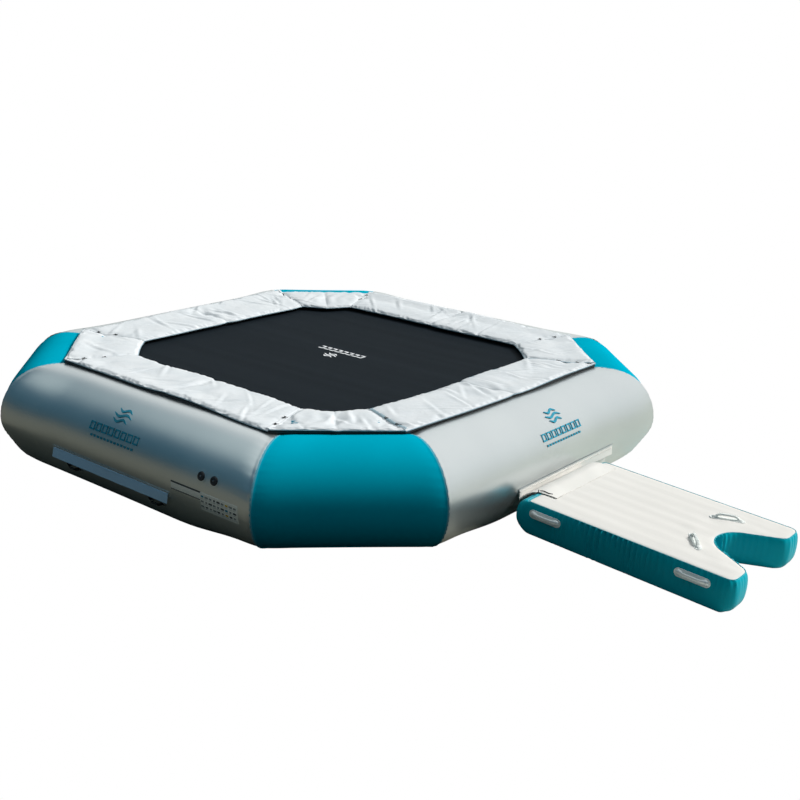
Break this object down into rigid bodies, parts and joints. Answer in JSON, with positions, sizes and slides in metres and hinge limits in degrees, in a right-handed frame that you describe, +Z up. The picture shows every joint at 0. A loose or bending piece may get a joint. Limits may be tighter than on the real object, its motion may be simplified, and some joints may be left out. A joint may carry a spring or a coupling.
{
  "type": "inflatable water trampoline with boarding platform",
  "caption": "Eight-sided inflatable ring carrying a sprung jumping bed under safety pads, with a flat boarding platform hinged to its front.",
  "frame": {"origin": "ground level, under the middle of the whole footprint; the ring's centre is 0.9666 m behind it", "axes": "+Z up; +X towards the boarding platform; +Y to the left side; the valves are on the right side, -Y"},
  "size_m": [7.1428, 5.2074, 0.907],
  "materials": {
    "silver_skin": "satin",
    "teal_skin": "satin",
    "galvanised_steel": "satin",
    "spring_steel": "satin",
    "pad_vinyl": "satin",
    "strip_fabric": "satin",
    "strap_webbing": "matte",
    "valve_plastic": "satin",
    "bed_mesh": "matte",
    "bed_webbing": "matte",
    "deck_vinyl": "matte",
    "handle_rubber": "satin"
  },
  "bodies": {
    "ring": {"float_front": "silver_skin", "float_front_left": "teal_skin", "float_left": "silver_skin", "float_back_left": "teal_skin", "float_back": "silver_skin", "float_back_right": "teal_skin", "float_right": "silver_skin", "float_front_right": "teal_skin", "frame_rail_front": "galvanised_steel", "frame_rail_front_left": "galvanised_steel", "frame_rail_left": "galvanised_steel", "frame_rail_back_left": "galvanised_steel", "frame_rail_back": "galvanised_steel", "frame_rail_back_right": "galvanised_steel", "frame_rail_right": "galvanised_steel", "frame_rail_front_right": "galvanised_steel", "springs_front": "spring_steel", "springs_front_left": "spring_steel", "springs_left": "spring_steel", "springs_back_left": "spring_steel", "springs_back": "spring_steel", "springs_back_right": "spring_steel", "springs_right": "spring_steel", "springs_front_right": "spring_steel", "pad_front": "pad_vinyl", "pad_front_left": "pad_vinyl", "pad_left": "pad_vinyl", "pad_back_left": "pad_vinyl", "pad_back": "pad_vinyl", "pad_back_right": "pad_vinyl", "pad_right": "pad_vinyl", "pad_front_right": "pad_vinyl", "accessory_strip_front": "strip_fabric", "accessory_strip_left": "strip_fabric", "accessory_strip_back": "strip_fabric", "accessory_strip_right": "strip_fabric", "lift_strap_front": "strap_webbing", "lift_strap_rear": "strap_webbing", "inflation_valve_body": "valve_plastic", "relief_valve_body": "valve_plastic", "hinge_flap": "deck_vinyl"},
    "bed": {"jumping_bed": "bed_mesh", "bed_hem": "bed_webbing"},
    "platform": {"platform_chamber": "teal_skin", "platform_deck": "deck_vinyl", "handle_left_inner": "handle_rubber", "handle_left_outer": "handle_rubber", "handle_right_inner": "handle_rubber", "handle_right_outer": "handle_rubber", "deck_handle_left": "handle_rubber", "deck_handle_right": "handle_rubber", "platform_valve_body": "valve_plastic"},
    "inflation_cap": {"inflation_valve_cap": "valve_plastic"},
    "relief_cap": {"relief_valve_cap": "valve_plastic"},
    "platform_cap": {"platform_valve_cap": "valve_plastic"},
    "anchor_front_left": {"anchor_ring_front_left": "galvanised_steel"},
    "anchor_back_left": {"anchor_ring_back_left": "galvanised_steel"},
    "anchor_back_right": {"anchor_ring_back_right": "galvanised_steel"},
    "anchor_front_right": {"anchor_ring_front_right": "galvanised_steel"}
  },
  "joints": [
    {"name": "bed_bounce", "type": "slide", "parent": "ring", "child": "bed", "axis": [0, 0, 1], "range_m": [-0.25, 0], "stiffness_N_per_m": 6000, "springref_m": 0.012, "deforming": ["springs_front", "springs_front_left", "springs_left", "springs_back_left", "springs_back", "springs_back_right", "springs_right", "springs_front_right"]},
    {"name": "platform_hinge", "type": "hinge", "parent": "ring", "child": "platform", "pos_m": [1.77231, -0.183, 0.35], "axis": [0, 1, 0], "range_deg": [-90, 20], "deforming": ["hinge_flap"]},
    {"name": "inflation_cap_twist", "type": "hinge", "parent": "ring", "child": "inflation_cap", "pos_m": [0.06031, -2.57919, 0.59521], "axis": [0, -0.9426, 0.3338], "range_deg": [0, 90]},
    {"name": "relief_cap_twist", "type": "hinge", "parent": "ring", "child": "relief_cap", "pos_m": [0.20231, -2.57919, 0.59521], "axis": [0, -0.9426, 0.3338], "range_deg": [0, 90]},
    {"name": "platform_cap_twist", "type": "hinge", "parent": "platform", "child": "platform_cap", "pos_m": [2.58683, 0.445, 0.18951], "axis": [0, 1, 0], "range_deg": [0, 90]},
    {"name": "anchor_swing_front_left", "type": "hinge", "parent": "ring", "child": "anchor_front_left", "pos_m": [0.59246, 1.56015, 0.09722], "axis": [-0.7071, 0.7071, 0], "range_deg": [-60, 60]},
    {"name": "anchor_swing_back_left", "type": "hinge", "parent": "ring", "child": "anchor_back_left", "pos_m": [-2.52784, 1.56015, 0.09722], "axis": [-0.7071, -0.7071, 0], "range_deg": [-60, 60]},
    {"name": "anchor_swing_back_right", "type": "hinge", "parent": "ring", "child": "anchor_back_right", "pos_m": [-2.52784, -1.56015, 0.09722], "axis": [0.7071, -0.7071, 0], "range_deg": [-60, 60]},
    {"name": "anchor_swing_front_right", "type": "hinge", "parent": "ring", "child": "anchor_front_right", "pos_m": [0.59246, -1.56015, 0.09722], "axis": [0.7071, 0.7071, 0], "range_deg": [-60, 60]}
  ]
}
